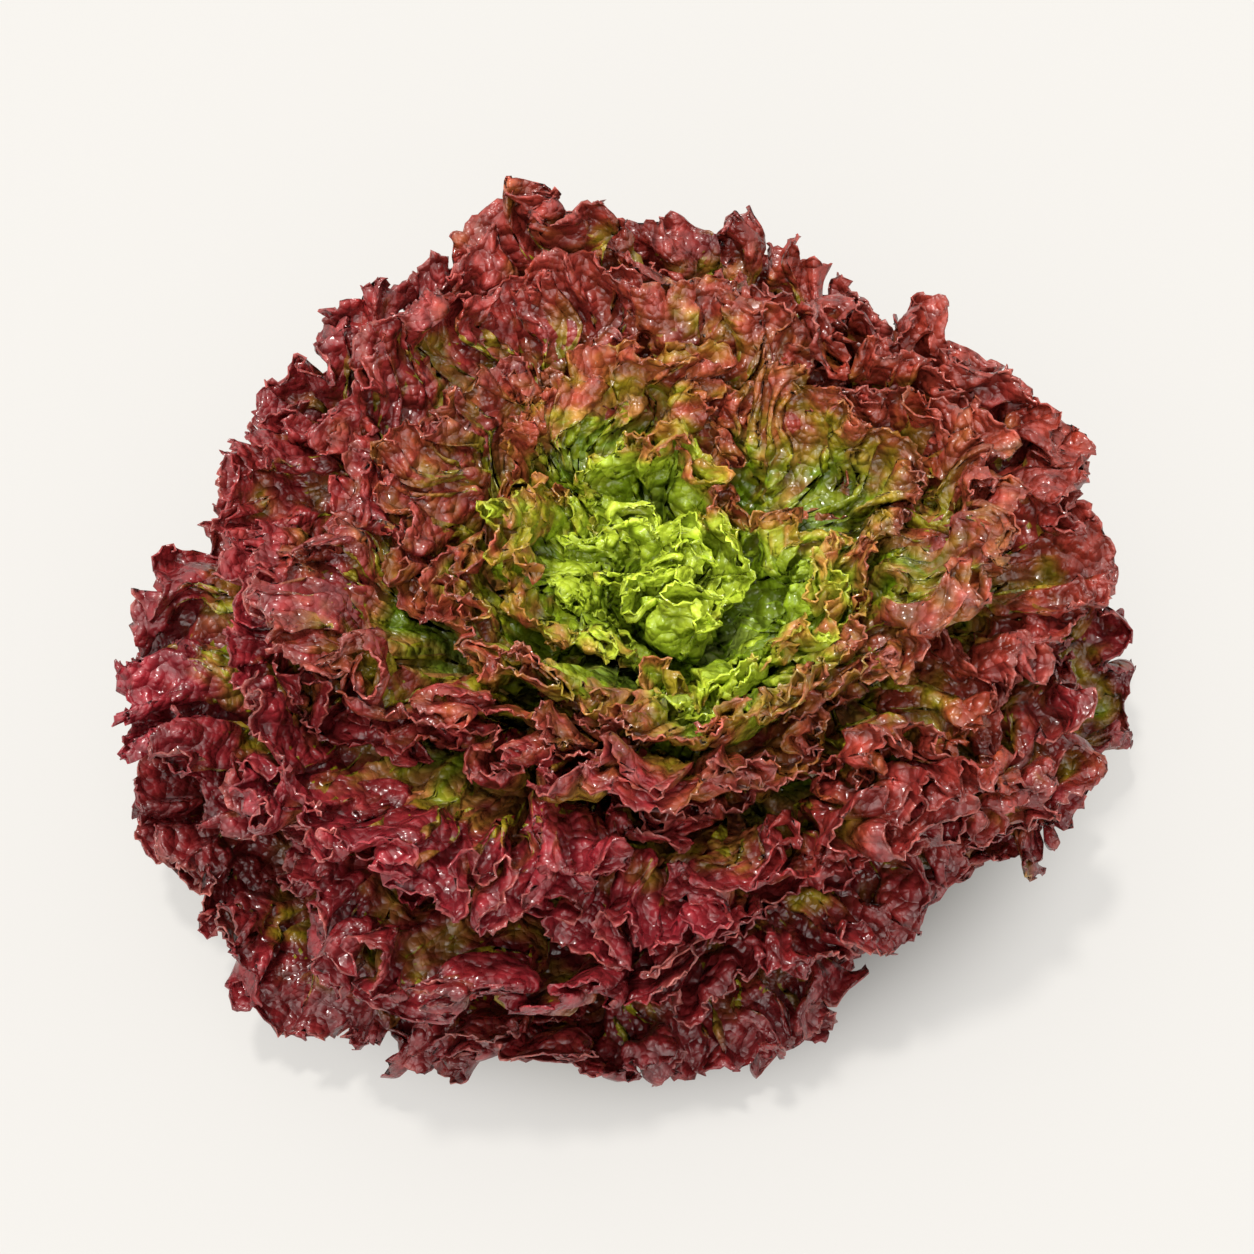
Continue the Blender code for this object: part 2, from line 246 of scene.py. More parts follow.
@dataclass
class Leaf:
    """One leaf of the spiral: where it stands, how wide it is and how its margin waves.

    Pairs hold a measure at the heart and at the skirt, or its least and its most.
    """

    head: Head
    index: int
    turn: float = 137.508
    jitter: float = 9.0
    lengths: tuple = (0.88, 1.03)
    half_angles: tuple = (62.0, 45.0)
    half_bend: float = 0.6
    widths: tuple = (0.95, 1.05)
    root_half_angles: tuple = (42.0, 28.0)
    wave_lengths: tuple = (0.019, 0.028)
    ribs: tuple = (0.0016, 0.0032)
    sizes: tuple = (0.55, 0.80)
    margin_steps: int = 161
    sweep: float = 88.0
    lobe_depth: float = 0.05
    lobe_rate: float = 7.0
    waist: float = 0.50
    flare: float = 0.85
    broad_depths: tuple = (0.20, 0.85)
    tight_depths: tuple = (0.45, 0.97)
    widest_band: float = 5.4
    band_clearance: float = 0.25
    guard_angle: float = 5.0
    ramp_angle: float = 12.0
    layer: float = field(init=False)

    def __post_init__(self) -> None:
        """Draws the leaf's own measures, the same as in the solids."""
        head = self.head
        draw = np.random.default_rng(head.seed * 1000 + self.index)
        self.layer = (self.index + head.first_layer) / head.leaf_count
        grown = min(1.0, 1.5 * self.layer)
        off = math.radians(draw.uniform(-self.jitter, self.jitter))
        self.azimuth = self.index * math.radians(self.turn) + off
        self.length = draw.uniform(*self.lengths)
        half = between(*self.half_angles, self.layer**self.half_bend) * draw.uniform(*self.widths)
        self.half_angle = math.radians(half)
        self.root_half_angle = math.radians(between(*self.root_half_angles, self.layer))
        self.wave_length = between(*self.wave_lengths, grown)
        self.start = draw.uniform(0.0, 2.0 * math.pi)
        self.drift = draw.uniform(0.0, 2.0 * math.pi, 6)
        self.rib = between(*self.ribs, self.layer)
        self.size = between(*self.sizes, grown)
        self.margin_fans = np.linspace(-1.0, 1.0, self.margin_steps)
        along, azimuth = self.place(np.ones(self.margin_steps), self.margin_fans)
        margin = head.point(np.full(self.margin_steps, self.layer), along, azimuth)
        steps = np.linalg.norm(np.diff(margin, axis=0), axis=1)
        self.margin_arc = np.concatenate([[0.0], np.cumsum(steps)])

    def place(self, depth: Array, fan: Array) -> tuple[Array, Array]:
        """Share of the layer's length, and azimuth.

        Args:
            depth: 0 at the root to 1 at the margin.
            fan: -1 to 1 across the leaf.

        Returns:
            The share along the layer, and the azimuth in radians.
        """
        sweep = np.radians(self.sweep) * fan
        lobes = 1.0 + self.lobe_depth * np.cos(sweep) * np.sin(self.lobe_rate * fan + self.drift[5])
        along = depth * (self.waist + (self.length * lobes - self.waist) * np.cos(sweep))
        share = depth**self.flare
        turn = (1.0 - share) * self.root_half_angle * fan + share * self.half_angle * np.sin(sweep)
        return along, self.azimuth + turn

    def wander(self, fan: Array, first: int) -> Array:
        """Slow irregular wave along the margin, from -1 to 1."""
        slow = np.sin(3.1 * fan + self.drift[first])
        quick = np.sin(7.3 * fan + self.drift[first + 1])
        return 0.6 * slow + 0.4 * quick

    def fold(self, depth: Array, fan: Array) -> Array:
        """Height of the broad folds, from -1 to 1."""
        arc = np.interp(fan, self.margin_fans, self.margin_arc)
        phase = 2.0 * math.pi * arc / self.wave_length + self.start + 1.5 * self.wander(fan, 0)
        broad = smooth(*self.broad_depths, depth) * np.sin(0.5 * phase + self.drift[4])
        tight = smooth(*self.tight_depths, depth) * np.sin(phase + 0.9 * (1.0 - depth))
        strength = 0.80 + 0.25 * self.wander(fan, 2)
        return np.tanh(1.35 * (0.35 * broad + 0.95 * strength * tight))

    def band(self, leaves: list, azimuth: Array) -> tuple[Array, Array]:
        """Room above and below the leaf.

        Args:
            leaves: every leaf of the head.
            azimuth: directions to look in, in radians.

        Returns:
            Layers that the leaf may fill outwards and inwards, as shares of the whole head.
        """
        above = np.full_like(azimuth, self.widest_band)
        below = np.full_like(azimuth, self.widest_band)
        for other in leaves:
            apart = abs(other.index - self.index)
            if apart == 0 or apart >= self.widest_band:
                continue
            turn = np.abs((azimuth - other.azimuth + math.pi) % (2.0 * math.pi) - math.pi)
            edge = other.half_angle + math.radians(self.guard_angle)
            bare = smooth(edge, edge + math.radians(self.ramp_angle), turn)
            room = apart + bare * (self.widest_band - apart)
            if other.index > self.index:
                above = np.minimum(above, room)
            else:
                below = np.minimum(below, room)
        count = self.head.leaf_count
        return (above / 2.0 - self.band_clearance) / count, (below / 2.0 - self.band_clearance) / count


@dataclass
class Stack:
    """Remembers how far inwards the grown leaves reach, by direction and by share along the layers."""

    rows: int = 150
    columns: int = 420
    top: float = 1.5
    far: float = 9.0

    def __post_init__(self) -> None:
        """Starts with nothing grown."""
        self.lowest = np.full((self.rows, self.columns), self.far)

    def cell(self, along: Array, azimuth: Array) -> tuple[Array, Array]:
        """Row and column of places."""
        row = np.clip((along / self.top * self.rows).astype(int), 0, self.rows - 1)
        turn = (azimuth % (2.0 * math.pi)) / (2.0 * math.pi)
        return row, (turn * self.columns).astype(int) % self.columns

    def room(self, along: Array, azimuth: Array) -> Array:
        """Lowest layer that the leaves grown so far take up at places."""
        return self.lowest[self.cell(along, azimuth)]

    def add(self, layer: Array, along: Array, azimuth: Array) -> None:
        """Adds a grown leaf's points, in layers, shares along them and azimuths."""
        fresh = np.full_like(self.lowest, self.far)
        row, column = self.cell(along, azimuth)
        np.minimum.at(fresh, (row.ravel(), column.ravel()), layer.ravel())
        spread = fresh.copy()
        for down in (-1, 0, 1):
            for side in (-1, 0, 1):
                spread = np.minimum(spread, np.roll(np.roll(fresh, down, 0), side, 1))
        self.lowest = np.minimum(self.lowest, spread)


@dataclass
class Seat:
    """Finds the layer of points that have left their leaf's layer."""

    radius: Array
    height: Array
    along: Array
    rate: Array
    outwards: tuple
    onwards: tuple
    layer: float

    def remade(self, change: Callable[[Array], Array]) -> "Seat":
        """The same seat on another grid.

        Args:
            change: makes a grid of values coarser or finer.

        Returns:
            The new seat.
        """
        grids = [change(part) for part in (self.radius, self.height, self.along, self.rate)]
        pairs = [tuple(change(part) for part in pair) for pair in (self.outwards, self.onwards)]
        return Seat(*grids, *pairs, self.layer)

    def find(self, points: Array) -> tuple[Array, Array, Array]:
        """Layer, share along it and azimuth of points.

        Args:
            points: places in metres.

        Returns:
            Three arrays.
        """
        layer_r, layer_z = self.outwards
        along_r, along_z = self.onwards
        out = np.hypot(points[..., 0], points[..., 1]) - self.radius
        up = points[..., 2] - self.height
        whole = layer_r * along_z - layer_z * along_r
        whole = np.where(np.abs(whole) < 1e-5, 1e-5, whole)
        layer = self.layer + (out * along_z - up * along_r) / whole
        along = self.along + (up * layer_r - out * layer_z) / whole
        return layer, along, np.arctan2(points[..., 1], points[..., 0])


@dataclass
class Sheet:
    """A leaf's grid before growth, with its room outwards and inwards."""

    depth: Array
    fan: Array
    base: Array
    outwards: Array
    low: Array
    high: Array
    inset: Array
    seat: Seat


@dataclass
class Stage:
    """What one stage of growth works on: a grid, its links, its room and its stiffness."""

    base: Array
    outwards: Array
    low: Array
    high: Array
    lean: Array
    across: Array
    down: Array
    links: list
    seat: Seat
    stiffness: float


@dataclass
class Growth:
    """Lets a leaf's margin grow longer than its base, so that it buckles into ruffles."""

    spacing: float = 0.0022
    rows: int = 25
    column_group: int = 24
    coarse: int = 3
    broad_gain: float = 0.7
    broad_reach: float = 3.6
    gain: float = 3.4
    most_growth: float = 4.5
    reach: float = 1.9
    rounds: int = 90
    inwards: float = 1.35
    outwards: float = 1.35
    least_room: float = 0.0003
    farthest: float = 0.0060
    heart_farther: float = 0.02
    clearance: float = 0.0013
    wander: float = 0.014
    stiffness: tuple = (0.12, 0.05)
    floor: float = 0.0009
    fold_height: float = 0.006
    ripple_height: float = 0.0020
    middle_lean: float = 0.00005
    heart_lean: float = 0.00010
    look_ahead: float = 0.001

    def __post_init__(self) -> None:
        """Starts an empty stack of leaves."""
        self.stack = Stack()

    def links(self, base: Array, across: Array, down: Array) -> list:
        """Links that hold neighbouring points at their grown distance.

        Args:
            base: the leaf's points before growth.
            across: grown distances along the rows.
            down: grown distances from row to row.

        Returns:
            A list of (first points, second points, distance before, distance grown, strength).
        """
        rows, columns = base.shape[:2]
        every = slice(None)
        near, far = spans(base)
        made = []
        for start in (0, 1):
            first = (every, slice(start, columns - 1, 2))
            second = (every, slice(start + 1, columns, 2))
            made.append((first, second, near[first], across[first], 0.9))
            first = (slice(start, rows - 1, 2), every)
            second = (slice(start + 1, rows, 2), every)
            made.append((first, second, far[first], down[first], 0.9))
        side = 0.5 * (across[1:] + across[:-1])
        rise = 0.5 * (down[:, 1:] + down[:, :-1])
        lean = (unit(base[:-1, 1:] - base[:-1, :-1]) * unit(base[1:, :-1] - base[:-1, :-1])).sum(-1)
        long_way = np.sqrt(np.maximum(side**2 + rise**2 + 2.0 * side * rise * lean, 1e-12))
        short_way = np.sqrt(np.maximum(side**2 + rise**2 - 2.0 * side * rise * lean, 1e-12))
        long_base = np.linalg.norm(base[1:, 1:] - base[:-1, :-1], axis=-1)
        short_base = np.linalg.norm(base[1:, :-1] - base[:-1, 1:], axis=-1)
        for i in (0, 1):
            for j in (0, 1):
                low = slice(i, rows - 1, 2)
                high = slice(i + 1, rows, 2)
                left = slice(j, columns - 1, 2)
                right = slice(j + 1, columns, 2)
                cell = (low, left)
                made.append(((low, left), (high, right), long_base[cell], long_way[cell], 0.25))
                made.append(((low, right), (high, left), short_base[cell], short_way[cell], 0.25))
        return made

    def lay(self, leaf: Leaf, leaves: list) -> Sheet:
        """Lays out a leaf's grid and finds its room.

        Args:
            leaf: the leaf to lay out.
            leaves: every leaf of the head.

        Returns:
            The grid before growth.
        """
        steps = leaf.margin_arc[-1] / (self.spacing * leaf.size)
        columns = self.column_group * max(1, int(round(steps / self.column_group)))
        depths = 1.0 - (1.0 - np.linspace(0.0, 1.0, self.rows)) ** 1.5
        arcs = np.linspace(0.0, leaf.margin_arc[-1], columns + 1)
        fans = np.interp(arcs, leaf.margin_arc, leaf.margin_fans)
        depth, fan = np.meshgrid(depths, fans, indexing="ij")
        along, azimuth = leaf.place(depth, fan)
        layer = np.full_like(depth, leaf.layer)
        base = leaf.head.point(layer, along, azimuth)
        outwards = unit(np.cross(np.gradient(base, axis=1), np.gradient(base, axis=0)))
        ahead = leaf.head.point(layer + self.look_ahead, along, azimuth) - base
        onwards = leaf.head.point(layer, along + self.look_ahead, azimuth) - base
        rate = (ahead * outwards).sum(-1) / self.look_ahead
        if rate.mean() < 0.0:
            outwards = -outwards
        rate = np.abs(rate)
        above, below = leaf.band(leaves, azimuth)
        start = 0.25 + 0.75 * smooth(0.25, 0.75, depth)
        high = np.maximum(start * self.outwards * above * rate, self.least_room)
        high = np.minimum(high, self.farthest + self.heart_farther * (1.0 - smooth(0.45, 0.85, layer)))
        roomy = 1.0 + 1.2 * (1.0 - smooth(0.05, 0.25, layer))
        low = -np.maximum(start * roomy * self.inwards * below * rate, self.least_room)
        radius = np.hypot(base[..., 0], base[..., 1])
        towards = base[..., :2] / radius[..., None]
        slopes = []
        for step in (ahead, onwards):
            upwards = step[..., 2] / self.look_ahead
            slopes.append(((step[..., :2] * towards).sum(-1) / self.look_ahead, upwards))
        seat = Seat(radius, base[..., 2], along, np.maximum(rate, 0.02), *slopes, leaf.layer)
        lengths = spans(base)[1]
        inset = np.zeros_like(depth)
        inset[:-1] = 100.0 * np.cumsum(lengths[::-1], axis=0)[::-1]
        return Sheet(depth, fan, base, outwards, low, high, inset, seat)

    def grow(self, leaf: Leaf, leaves: list) -> dict:
        """Grows one leaf, in broad folds first and then in fine ruffles.

        Args:
            leaf: the leaf to grow.
            leaves: every leaf of the head.

        Returns:
            The grown points, with depth, fan and the distance from the margin in centimetres.
        """
        sheet = self.lay(leaf, leaves)
        size = leaf.size
        layer = leaf.layer
        base = sheet.base
        centimetres = base * 100.0
        inset = sheet.inset
        patches = 0.75 + 0.5 * NOISE.rough(centimetres, 2.6, 3.3 * leaf.index)
        broad = np.exp(-((inset / (self.broad_reach * size)) ** 1.5))
        tight = np.exp(-((inset / (self.reach * between(1.5, 0.8, layer**0.5))) ** 1.3))
        seed = 0.6 * NOISE.at(centimetres, 2.2 * size, 5.7 * leaf.index)
        seed = seed + 0.7 * leaf.fold(sheet.depth, sheet.fan)
        lobes = NOISE.at(centimetres, 1.7 * size, 8.1 * leaf.index)
        ripple = NOISE.at(centimetres, 0.62 * size, 2.9 * leaf.index)
        bold = between(1.5, 1.0, min(1.0, 4.0 * layer))
        lift = np.clip(self.fold_height * bold * size * seed * broad, 0.8 * sheet.low, 0.8 * sheet.high)
        lean = self.middle_lean * tight * (smooth(0.10, 0.25, layer) - smooth(0.3, 0.8, layer))
        lean = lean - self.heart_lean * tight * (1.0 - smooth(0.06, 0.20, layer))
        points = base + sheet.outwards * lift[..., None]
        widened = np.clip(1.0 + self.broad_gain * broad * patches, 1.0, self.most_growth)
        ruffled = np.clip(1.0 + self.gain * tight * patches, 1.0, self.most_growth)
        plan = (
            (self.coarse, widened, broad, self.stiffness[0]),
            (1, np.maximum(widened, ruffled), tight, self.stiffness[1]),
        )
        for pick, wide, growing, stiffness in plan:
            tall = 1.0 + growing * (0.35 + 0.45 * lobes)
            stage, moved = self.stage(sheet, points, pick, wide, tall, lean, stiffness)
            self.settle(moved, stage)
            shift = moved - stage.base
            if pick > 1:
                shift = refine(refine(shift, pick, 0), pick, 1)
                shift = shift + sheet.outwards * (self.ripple_height * size * ripple * tight)[..., None]
            points = base + shift
        fine_seat = sheet.seat.remade(lambda part: refine(refine(part, 2, 0), 4, 1))
        self.stack.add(*fine_seat.find(refine(refine(points, 2, 0), 4, 1)))
        return {"points": points, "depth": sheet.depth, "fan": sheet.fan, "inset": inset}

    def stage(
        self, sheet: Sheet, points: Array, pick: int, wide: Array, tall: Array, lean: Array, stiffness: float
    ) -> tuple[Stage, Array]:
        """Prepares one stage of growth.

        Args:
            sheet: the leaf's grid before growth.
            points: the leaf's points so far.
            pick: takes every so-manieth row and column.
            wide: growth along the rows.
            tall: growth from row to row.
            lean: how far each point is pushed outwards in one round.
            stiffness: how strongly the leaf keeps flat.

        Returns:
            The stage, and the points that it moves.
        """
        some = (slice(None, None, pick), slice(None, None, pick))
        moved = points[some].copy()
        before = sheet.base[some]
        near, far = spans(before)
        across = near * 0.5 * (wide[some][:, 1:] + wide[some][:, :-1])
        down = far * 0.5 * (tall[some][1:] + tall[some][:-1])
        made = Stage(
            base=before,
            outwards=sheet.outwards[some],
            low=sheet.low[some],
            high=sheet.high[some],
            lean=lean[some],
            across=across,
            down=down,
            links=self.links(moved, across, down),
            seat=sheet.seat.remade(lambda part: part[some]),
            stiffness=stiffness,
        )
        return made, moved

    def flatten(self, points: Array, stage: Stage, near: Array, share: float) -> Array:
        """Moves that straighten sharp bends.

        Args:
            points: the leaf's points.
            stage: the stage of growth.
            near: distances along the rows before growth.
            share: how far the growth has come, up to 1.

        Returns:
            One move for each point.
        """
        bend = np.zeros_like(points)
        straight = stage.across[:, 1:] + stage.across[:, :-1]
        wanted = straight * share + (near[:, 1:] + near[:, :-1]) * (1.0 - share)
        upright = stage.down[1:] + stage.down[:-1]
        for gap, length, ahead, behind in (
            (points[:, 2:] - points[:, :-2], wanted, bend[:, 2:], bend[:, :-2]),
            (points[2:] - points[:-2], upright, bend[2:], bend[:-2]),
        ):
            now = np.sqrt((gap * gap).sum(-1))
            push = np.maximum(length - now, 0.0) / np.maximum(now, 1e-9) * stage.stiffness * 0.25
            ahead += push[..., None] * gap
            behind -= push[..., None] * gap
        return bend

    def settle(self, points: Array, stage: Stage) -> None:
        """Moves the points until the links have their lengths and the leaf keeps to its room.

        Args:
            points: the leaf's points, which are moved.
            stage: the stage of growth.
        """
        base = stage.base
        outwards = stage.outwards
        rate = stage.seat.rate
        free = np.ones(base.shape[:2])
        free[: max(2, base.shape[0] // 6)] = 0.0
        near = spans(points)[0]
        for turn in range(self.rounds):
            share = min(1.0, (turn + 1) / (0.6 * self.rounds))
            for first, second, before, grown, strength in stage.links:
                gap = points[second] - points[first]
                length = np.sqrt((gap * gap).sum(-1))
                wanted = before + (grown - before) * share
                pull = strength * (length - wanted) / np.maximum(length, 1e-9)
                weight = free[first] + free[second] + 1e-9
                move = (pull / weight)[..., None] * gap
                points[first] += free[first][..., None] * move
                points[second] -= free[second][..., None] * move
            bend = self.flatten(points, stage, near, share)
            points += (bend + outwards * stage.lean[..., None]) * free[..., None]
            layer, along, azimuth = stage.seat.find(points)
            over = layer + self.clearance / rate - self.stack.room(along, azimuth)
            over = np.clip(over, 0.0, 0.05) * free
            points -= (0.6 * over * rate)[..., None] * outwards
            away = points - base
            height = (away * outwards).sum(-1)
            kept = np.clip(height, stage.low, stage.high)
            points += (0.7 * (kept - height))[..., None] * outwards
            slide = away - height[..., None] * outwards
            slid = np.sqrt((slide * slide).sum(-1))
            points -= (0.5 * np.maximum(slid - self.wander, 0.0) / np.maximum(slid, 1e-9))[..., None] * slide
            points[..., 2] = np.maximum(points[..., 2], self.floor)


@dataclass
class Crumple:
    """Shears the whole head a few times, so that its folds wander but its leaves don't cross."""

    count: int = 8
    fine_count: int = 5
    finest: float = 0.012
    shortest: float = 0.022
    longest: float = 0.048
    share: float = 0.062
    still_radius: float = 0.022
    full_radius: float = 0.060
    seed: int = 5
    trim: tuple = (
        (1, -0.014, 58.0),
        (3, -0.012, 61.0),
        (4, -0.020, 22.0),
        (7, -0.026, 35.0),
        (8, -0.014, 40.0),
    )
    trim_radii: tuple = (0.05, 0.10)

    def apply(self, points: Array) -> Array:
        """Crumpled places of points."""
        draw = np.random.default_rng(self.seed)
        strength = smooth(self.still_radius, self.full_radius, np.linalg.norm(points, axis=-1))
        coarse = np.geomspace(self.longest, self.shortest, self.count)
        fine = np.geomspace(self.shortest, self.finest, self.fine_count)
        for length in (*coarse, *fine):
            along = unit(draw.normal(size=3))
            aside = unit(np.cross(along, draw.normal(size=3)))
            phase = 2.0 * math.pi * ((points @ along) / length + draw.uniform())
            points = points + (self.share * length * strength * np.sin(phase))[..., None] * aside
        azimuth = np.arctan2(points[..., 1], points[..., 0])
        wider = np.ones_like(azimuth)
        for count, share, direction in self.trim:
            wider = wider + share * np.cos(count * (azimuth - math.radians(direction)))
        radius = np.hypot(points[..., 0], points[..., 1])
        spread = 1.0 + (wider - 1.0) * smooth(*self.trim_radii, radius)
        points[..., :2] = points[..., :2] * spread[..., None]
        return points


@dataclass
class Limits:
    """Box that the dressed head keeps to: the solids' box and a little more."""

    low: Array
    high: Array
    margin: float = 0.022
    soft: float = 0.012
    floor: float = 0.0008

    def keep(self, points: Array) -> Array:
        """Points drawn back smoothly where they would leave the box."""
        size = self.high - self.low
        low = self.low - self.margin * size
        high = self.high + self.margin * size
        over = np.maximum(points - (high - self.soft), 0.0)
        points = points - over + self.soft * np.tanh(over / self.soft)
        under = np.maximum((low + self.soft) - points, 0.0)
        under[..., 2] = 0.0
        points = points + under - self.soft * np.tanh(under / self.soft)
        points[..., 2] = np.maximum(points[..., 2], self.floor)
        return points


def refine(grid: Array, times: int, axis: int) -> Array:
    """Smooth curve through a grid's points along one axis, with more points.

    Args:
        grid: values in rows and columns, with any number of channels.
        times: points made for each step.
        axis: 0 for the rows, 1 for the columns.

    Returns:
        The finer grid.
    """
    moved = np.moveaxis(grid, axis, 0)
    count = moved.shape[0]
    spots = np.linspace(0.0, count - 1.0, (count - 1) * times + 1)
    cell = np.clip(np.floor(spots).astype(int), 0, count - 2)
    share = (spots - cell).reshape((-1,) + (1,) * (moved.ndim - 1))
    before = moved[np.clip(cell - 1, 0, count - 1)]
    first = moved[cell]
    second = moved[cell + 1]
    after = moved[np.clip(cell + 2, 0, count - 1)]
    made = 2.0 * first + (second - before) * share
    made = made + (2.0 * before - 5.0 * first + 4.0 * second - after) * share**2
    made = made + (3.0 * first - before - 3.0 * second + after) * share**3
    return np.moveaxis(0.5 * made, 0, axis)


def normals_of(points: Array) -> Array:
    """Directions square to a grid of points."""
    return unit(np.cross(np.gradient(points, axis=1), np.gradient(points, axis=0)))


def arc_of(line: Array) -> Array:
    """Length along a line of points up to each of them, in centimetres."""
    steps = np.linalg.norm(np.diff(line, axis=0), axis=-1)
    return np.concatenate([[0.0], np.cumsum(steps)]) * 100.0


def mix(first: Array, second: Array, share: Array) -> Array:
    """Colours between two others, by each point's share of the second."""
    return first + (second - first) * share[:, None]


@dataclass
class Blade:
    """A leaf as a closed thin shell with a toothed margin, blisters and a midrib.

    The thickness is in metres. Other lengths, heights, depths and reaches are in centimetres.
    Each of the blisters has a height, a length near the margin, one farther in and a shift.
    """

    leaf: Leaf
    grown: dict
    limits: Limits
    name: str
    thickness: float = 0.00045
    fine_rows: int = 2
    fine_columns: int = 6
    middle_row: int = -14
    blisters: tuple = ((0.165, 1.10, 0.95, 0.0), (0.105, 0.60, 0.50, 7.0))
    inner_zone: tuple = (1.0, 2.2)
    blistered_depths: tuple = (0.2, 0.55)
    crimp_length: float = 0.46
    crimp_height: float = 0.085
    crimp_reach: float = 0.38
    tooth_length: float = 0.30
    tooth_depth: float = 0.200
    tooth_reach: float = 0.11
    lobe_length: float = 1.25
    lobe_depth: float = 0.34
    lobe_reach: float = 0.45
    rib_width: float = 0.16
    row_steps: tuple = ((1, 1), (9, 2), (19, 4))
    base_step: int = 8
    base_rows: int = 4

    def detail(self) -> None:
        """Adds blisters, crimps, lobes and teeth that are finer than the growth's grid."""
        parts = [self.grown["points"]] + [self.grown[key][..., None] for key in ("depth", "fan", "inset")]
        grid = refine(refine(np.concatenate(parts, axis=-1), self.fine_rows, 0), self.fine_columns, 1)
        self.depth = np.clip(grid[..., 3], 0.0, 1.0)
        self.fan = grid[..., 4]
        self.inset = np.maximum(grid[..., 5], 0.0)
        points = self.blister(grid[..., :3])
        arc = arc_of(points[-1])
        line = np.stack([arc, 0.0 * arc + 1.3 * self.leaf.index, 0.0 * arc], axis=-1)
        size = self.leaf.size
        phase = 2.0 * math.pi * (arc / (self.crimp_length * size) + 0.9 * NOISE.at(line, 0.9))
        fading = np.exp(-self.inset / (self.crimp_reach * size))
        crimp = self.crimp_height * size * fading * np.sin(phase)[None, :]
        points = points + normals_of(points) * crimp[..., None] / 100.0
        out = unit(points[-1] - points[-4])
        pull = self.fringe(arc, line)
        self.points = self.limits.keep(points + pull[..., None] * out[None] / 100.0)
        self.square = normals_of(self.points)
        self.rib = np.exp(-((self.fan / self.rib_width) ** 2)) * (1.0 - smooth(0.05, 0.80, self.depth))

    def blister(self, points: Array) -> Array:
        """Raises the blisters, which follow the margin near it and lie free in space farther in.

        Args:
            points: the leaf's smooth points.

        Returns:
            The points with their blisters.
        """
        size = self.leaf.size
        inset = self.inset
        across = np.broadcast_to(arc_of(points[self.middle_row]), inset.shape)
        flat = np.stack([across, 1.2 * inset, np.full_like(inset, 1.7 * self.leaf.index)], axis=-1)
        inner = smooth(*self.inner_zone, inset / size)
        lift = np.zeros_like(inset)
        for height, outer_length, inner_length, shift in self.blisters:
            near = 1.0 - 2.0 * np.abs(NOISE.at(flat, outer_length * size, shift))
            free = 1.0 - 2.0 * np.abs(NOISE.at(points * 100.0, inner_length * size, shift))
            lift = lift + height * (near + (free - near) * inner)
        lift = lift * smooth(*self.blistered_depths, self.depth) * (0.5 + 0.5 * size)
        return points + normals_of(points) * lift[..., None] / 100.0

    def fringe(self, arc: Array, line: Array) -> Array:
        """How far teeth and lobes draw each point outwards.

        Args:
            arc: length along the margin.
            line: the margin laid out straight, with three numbers for each point.

        Returns:
            One distance for each point of the grid, in centimetres.
        """
        size = self.leaf.size
        count = arc / self.tooth_length + 0.6 * NOISE.at(line, 0.5, 2.0)
        tooth = np.abs((count % 1.0) - 0.5) * 2.0
        tooth = tooth * (0.6 + 0.5 * NOISE.at(line, 0.35, 4.0))
        turns = arc / (self.lobe_length * size) + 0.8 * NOISE.at(line, 1.4, 6.0)
        lobe = np.sqrt(np.abs(np.sin(math.pi * turns))) - 0.65
        pull = np.exp(-self.inset / self.tooth_reach) * (tooth * self.tooth_depth * size)[None, :]
        return pull + np.exp(-self.inset / self.lobe_reach) * (self.lobe_depth * size * lobe)[None, :]

    def rows(self) -> list:
        """Rows kept for the mesh.

        Returns:
            From the margin inwards, each as (row, its kept columns).
        """
        last = self.points.shape[0] - 1
        kept = []
        for back in range(last + 1):
            steps = [step for rows, step in self.row_steps if back < rows]
            if not steps and (back % self.base_rows == 0 or back == last):
                steps = [self.base_step]
            if steps:
                kept.append((last - back, np.arange(0, self.points.shape[1], steps[0])))
        return kept

    def strip(self, first: int, near: int, second: int, far: int) -> list:
        """Faces between two neighbouring rows, where the second may have half as many columns.

        Args:
            first: number of the first row's first point.
            near: how many points the first row has.
            second: number of the second row's first point.
            far: how many points the second row has.

        Returns:
            The faces, as tuples of point numbers.
        """
        if near == far:
            return [(first + k, first + k + 1, second + k + 1, second + k) for k in range(near - 1)]
        made = []
        for k in range(far - 1):
            a = first + 2 * k
            made.append((a, a + 1, second + k))
            made.append((a + 1, a + 2, second + k + 1))
            made.append((a + 1, second + k + 1, second + k))
        return made

    def walls(self, starts: list, counts: list, total: int) -> list:
        """Faces that close the shell along its whole edge.

        Args:
            starts: number of each row's first point.
            counts: how many points each row has.
            total: how many points one side has.

        Returns:
            The faces, as tuples of point numbers.
        """
        rim = [starts[0] + k for k in range(counts[0])]
        right = [start + count - 1 for start, count in zip(starts[1:], counts[1:])]
        root = [starts[-1] + k for k in range(counts[-1] - 2, -1, -1)]
        loop = rim + right + root + starts[-2:0:-1]
        return [(b, a, total + a, total + b) for a, b in zip(loop, loop[1:] + loop[:1])]

